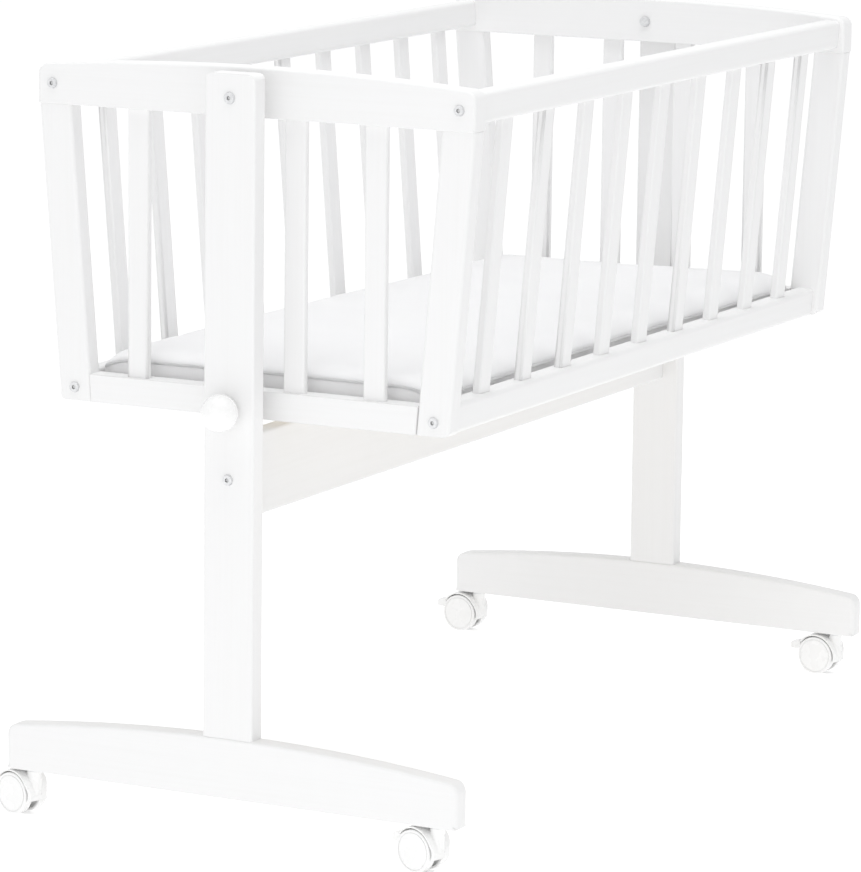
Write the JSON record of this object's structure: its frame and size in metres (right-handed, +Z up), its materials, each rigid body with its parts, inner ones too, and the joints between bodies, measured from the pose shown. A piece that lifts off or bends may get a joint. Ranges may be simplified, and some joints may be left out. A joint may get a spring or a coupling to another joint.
{
  "type": "swinging cradle on a caster stand",
  "caption": "Slatted wooden cradle basket with a mattress, hung on pivots between two posts of a rolling stand, with a clamp screw that stops the swing and twin-wheel casters.",
  "frame": {"origin": "on the floor, midway between the four caster swivel axes", "axes": "+X along the basket towards its right end, +Y towards the back long side, +Z up; the swing lock is at -X"},
  "size_m": [1.0849, 0.5499, 0.782],
  "materials": {
    "painted_wood": "white satin paint over solid wood",
    "bare_wood": "bare birch and beech",
    "steel": "zinc plated",
    "brass": "plain",
    "nylon": "moulded, matt",
    "white_plastic": "moulded, glossy",
    "mattress_fabric": "woven cotton cover"
  },
  "bodies": {
    "stand": {"left_post": "painted_wood", "right_post": "painted_wood", "left_foot_bar": "painted_wood", "right_foot_bar": "painted_wood", "stretcher": "painted_wood", "foot_dowels": "bare_wood", "stretcher_dowels": "bare_wood", "stretcher_bolts": "steel", "stretcher_nuts": "steel", "pivot_bolts": "steel", "pivot_spacers": "nylon", "pivot_nuts": "steel", "lock_insert": "brass", "caster_stems": "steel"},
    "basket": {"pivot_bushes": "nylon", "left_end_top_rail": "painted_wood", "right_end_top_rail": "painted_wood", "left_end_bottom_rail": "painted_wood", "right_end_bottom_rail": "painted_wood", "left_end_slats": "painted_wood", "right_end_slats": "painted_wood", "left_front_corner_post": "painted_wood", "left_back_corner_post": "painted_wood", "right_front_corner_post": "painted_wood", "right_back_corner_post": "painted_wood", "front_top_rail": "painted_wood", "back_top_rail": "painted_wood", "front_bottom_rail": "painted_wood", "back_bottom_rail": "painted_wood", "front_slats": "painted_wood", "back_slats": "painted_wood", "front_ledger": "bare_wood", "back_ledger": "bare_wood", "base_slats": "bare_wood", "mattress": "mattress_fabric", "end_dowels": "bare_wood", "corner_bolts": "steel", "corner_nuts": "steel"},
    "lock": {"lock_screw": "steel", "lock_knob": "white_plastic"},
    "left_front_caster": {"left_front_hood": "white_plastic", "left_front_axle": "steel"},
    "left_front_outer_wheel": {"left_front_outer_wheel": "white_plastic"},
    "left_front_inner_wheel": {"left_front_inner_wheel": "white_plastic"},
    "left_front_brake": {"left_front_brake": "white_plastic"},
    "left_back_caster": {"left_back_hood": "white_plastic", "left_back_axle": "steel"},
    "left_back_outer_wheel": {"left_back_outer_wheel": "white_plastic"},
    "left_back_inner_wheel": {"left_back_inner_wheel": "white_plastic"},
    "left_back_brake": {"left_back_brake": "white_plastic"},
    "right_front_caster": {"right_front_hood": "white_plastic", "right_front_axle": "steel"},
    "right_front_outer_wheel": {"right_front_outer_wheel": "white_plastic"},
    "right_front_inner_wheel": {"right_front_inner_wheel": "white_plastic"},
    "right_front_brake": {"right_front_brake": "white_plastic"},
    "right_back_caster": {"right_back_hood": "white_plastic", "right_back_axle": "steel"},
    "right_back_outer_wheel": {"right_back_outer_wheel": "white_plastic"},
    "right_back_inner_wheel": {"right_back_inner_wheel": "white_plastic"},
    "right_back_brake": {"right_back_brake": "white_plastic"}
  },
  "joints": [
    {"name": "basket_swing", "type": "hinge", "parent": "stand", "child": "basket", "pos_m": [0, 0, 0.7555], "axis": [1, 0, 0], "range_deg": [-12, 12]},
    {"name": "lock_slide", "type": "slide", "parent": "stand", "child": "lock", "axis": [-1, 0, 0], "range_m": [-0.00035, 0.018]},
    {"name": "left_front_swivel", "type": "hinge", "parent": "stand", "child": "left_front_caster", "pos_m": [-0.5095, -0.233, 0.0485], "axis": [0, 0, 1], "continuous": true},
    {"name": "left_front_outer_spin", "type": "hinge", "parent": "left_front_caster", "child": "left_front_outer_wheel", "pos_m": [-0.50458, -0.21465, 0.02175], "axis": [0.9659, -0.2588, 0], "continuous": true},
    {"name": "left_front_inner_spin", "type": "hinge", "parent": "left_front_caster", "child": "left_front_inner_wheel", "pos_m": [-0.50458, -0.21465, 0.02175], "axis": [0.9659, -0.2588, 0], "continuous": true},
    {"name": "left_front_brake_turn", "type": "hinge", "parent": "left_front_caster", "child": "left_front_brake", "pos_m": [-0.50174, -0.20402, 0.03425], "axis": [-0.9659, 0.2588, 0], "range_deg": [0, 13]},
    {"name": "left_back_swivel", "type": "hinge", "parent": "stand", "child": "left_back_caster", "pos_m": [-0.5095, 0.233, 0.0485], "axis": [0, 0, 1], "continuous": true},
    {"name": "left_back_outer_spin", "type": "hinge", "parent": "left_back_caster", "child": "left_back_outer_wheel", "pos_m": [-0.50458, 0.25135, 0.02175], "axis": [0.9659, -0.2588, 0], "continuous": true},
    {"name": "left_back_inner_spin", "type": "hinge", "parent": "left_back_caster", "child": "left_back_inner_wheel", "pos_m": [-0.50458, 0.25135, 0.02175], "axis": [0.9659, -0.2588, 0], "continuous": true},
    {"name": "left_back_brake_turn", "type": "hinge", "parent": "left_back_caster", "child": "left_back_brake", "pos_m": [-0.50174, 0.26198, 0.03425], "axis": [-0.9659, 0.2588, 0], "range_deg": [0, 13]},
    {"name": "right_front_swivel", "type": "hinge", "parent": "stand", "child": "right_front_caster", "pos_m": [0.5095, -0.233, 0.0485], "axis": [0, 0, 1], "continuous": true},
    {"name": "right_front_outer_spin", "type": "hinge", "parent": "right_front_caster", "child": "right_front_outer_wheel", "pos_m": [0.51116, -0.21407, 0.02175], "axis": [0.9962, -0.0872, 0], "continuous": true},
    {"name": "right_front_inner_spin", "type": "hinge", "parent": "right_front_caster", "child": "right_front_inner_wheel", "pos_m": [0.51116, -0.21407, 0.02175], "axis": [0.9962, -0.0872, 0], "continuous": true},
    {"name": "right_front_brake_turn", "type": "hinge", "parent": "right_front_caster", "child": "right_front_brake", "pos_m": [0.51211, -0.20311, 0.03425], "axis": [-0.9962, 0.0872, 0], "range_deg": [0, 13]},
    {"name": "right_back_swivel", "type": "hinge", "parent": "stand", "child": "right_back_caster", "pos_m": [0.5095, 0.233, 0.0485], "axis": [0, 0, 1], "continuous": true},
    {"name": "right_back_outer_spin", "type": "hinge", "parent": "right_back_caster", "child": "right_back_outer_wheel", "pos_m": [0.51116, 0.25193, 0.02175], "axis": [0.9962, -0.0872, 0], "continuous": true},
    {"name": "right_back_inner_spin", "type": "hinge", "parent": "right_back_caster", "child": "right_back_inner_wheel", "pos_m": [0.51116, 0.25193, 0.02175], "axis": [0.9962, -0.0872, 0], "continuous": true},
    {"name": "right_back_brake_turn", "type": "hinge", "parent": "right_back_caster", "child": "right_back_brake", "pos_m": [0.51211, 0.26289, 0.03425], "axis": [-0.9962, 0.0872, 0], "range_deg": [0, 13]}
  ]
}
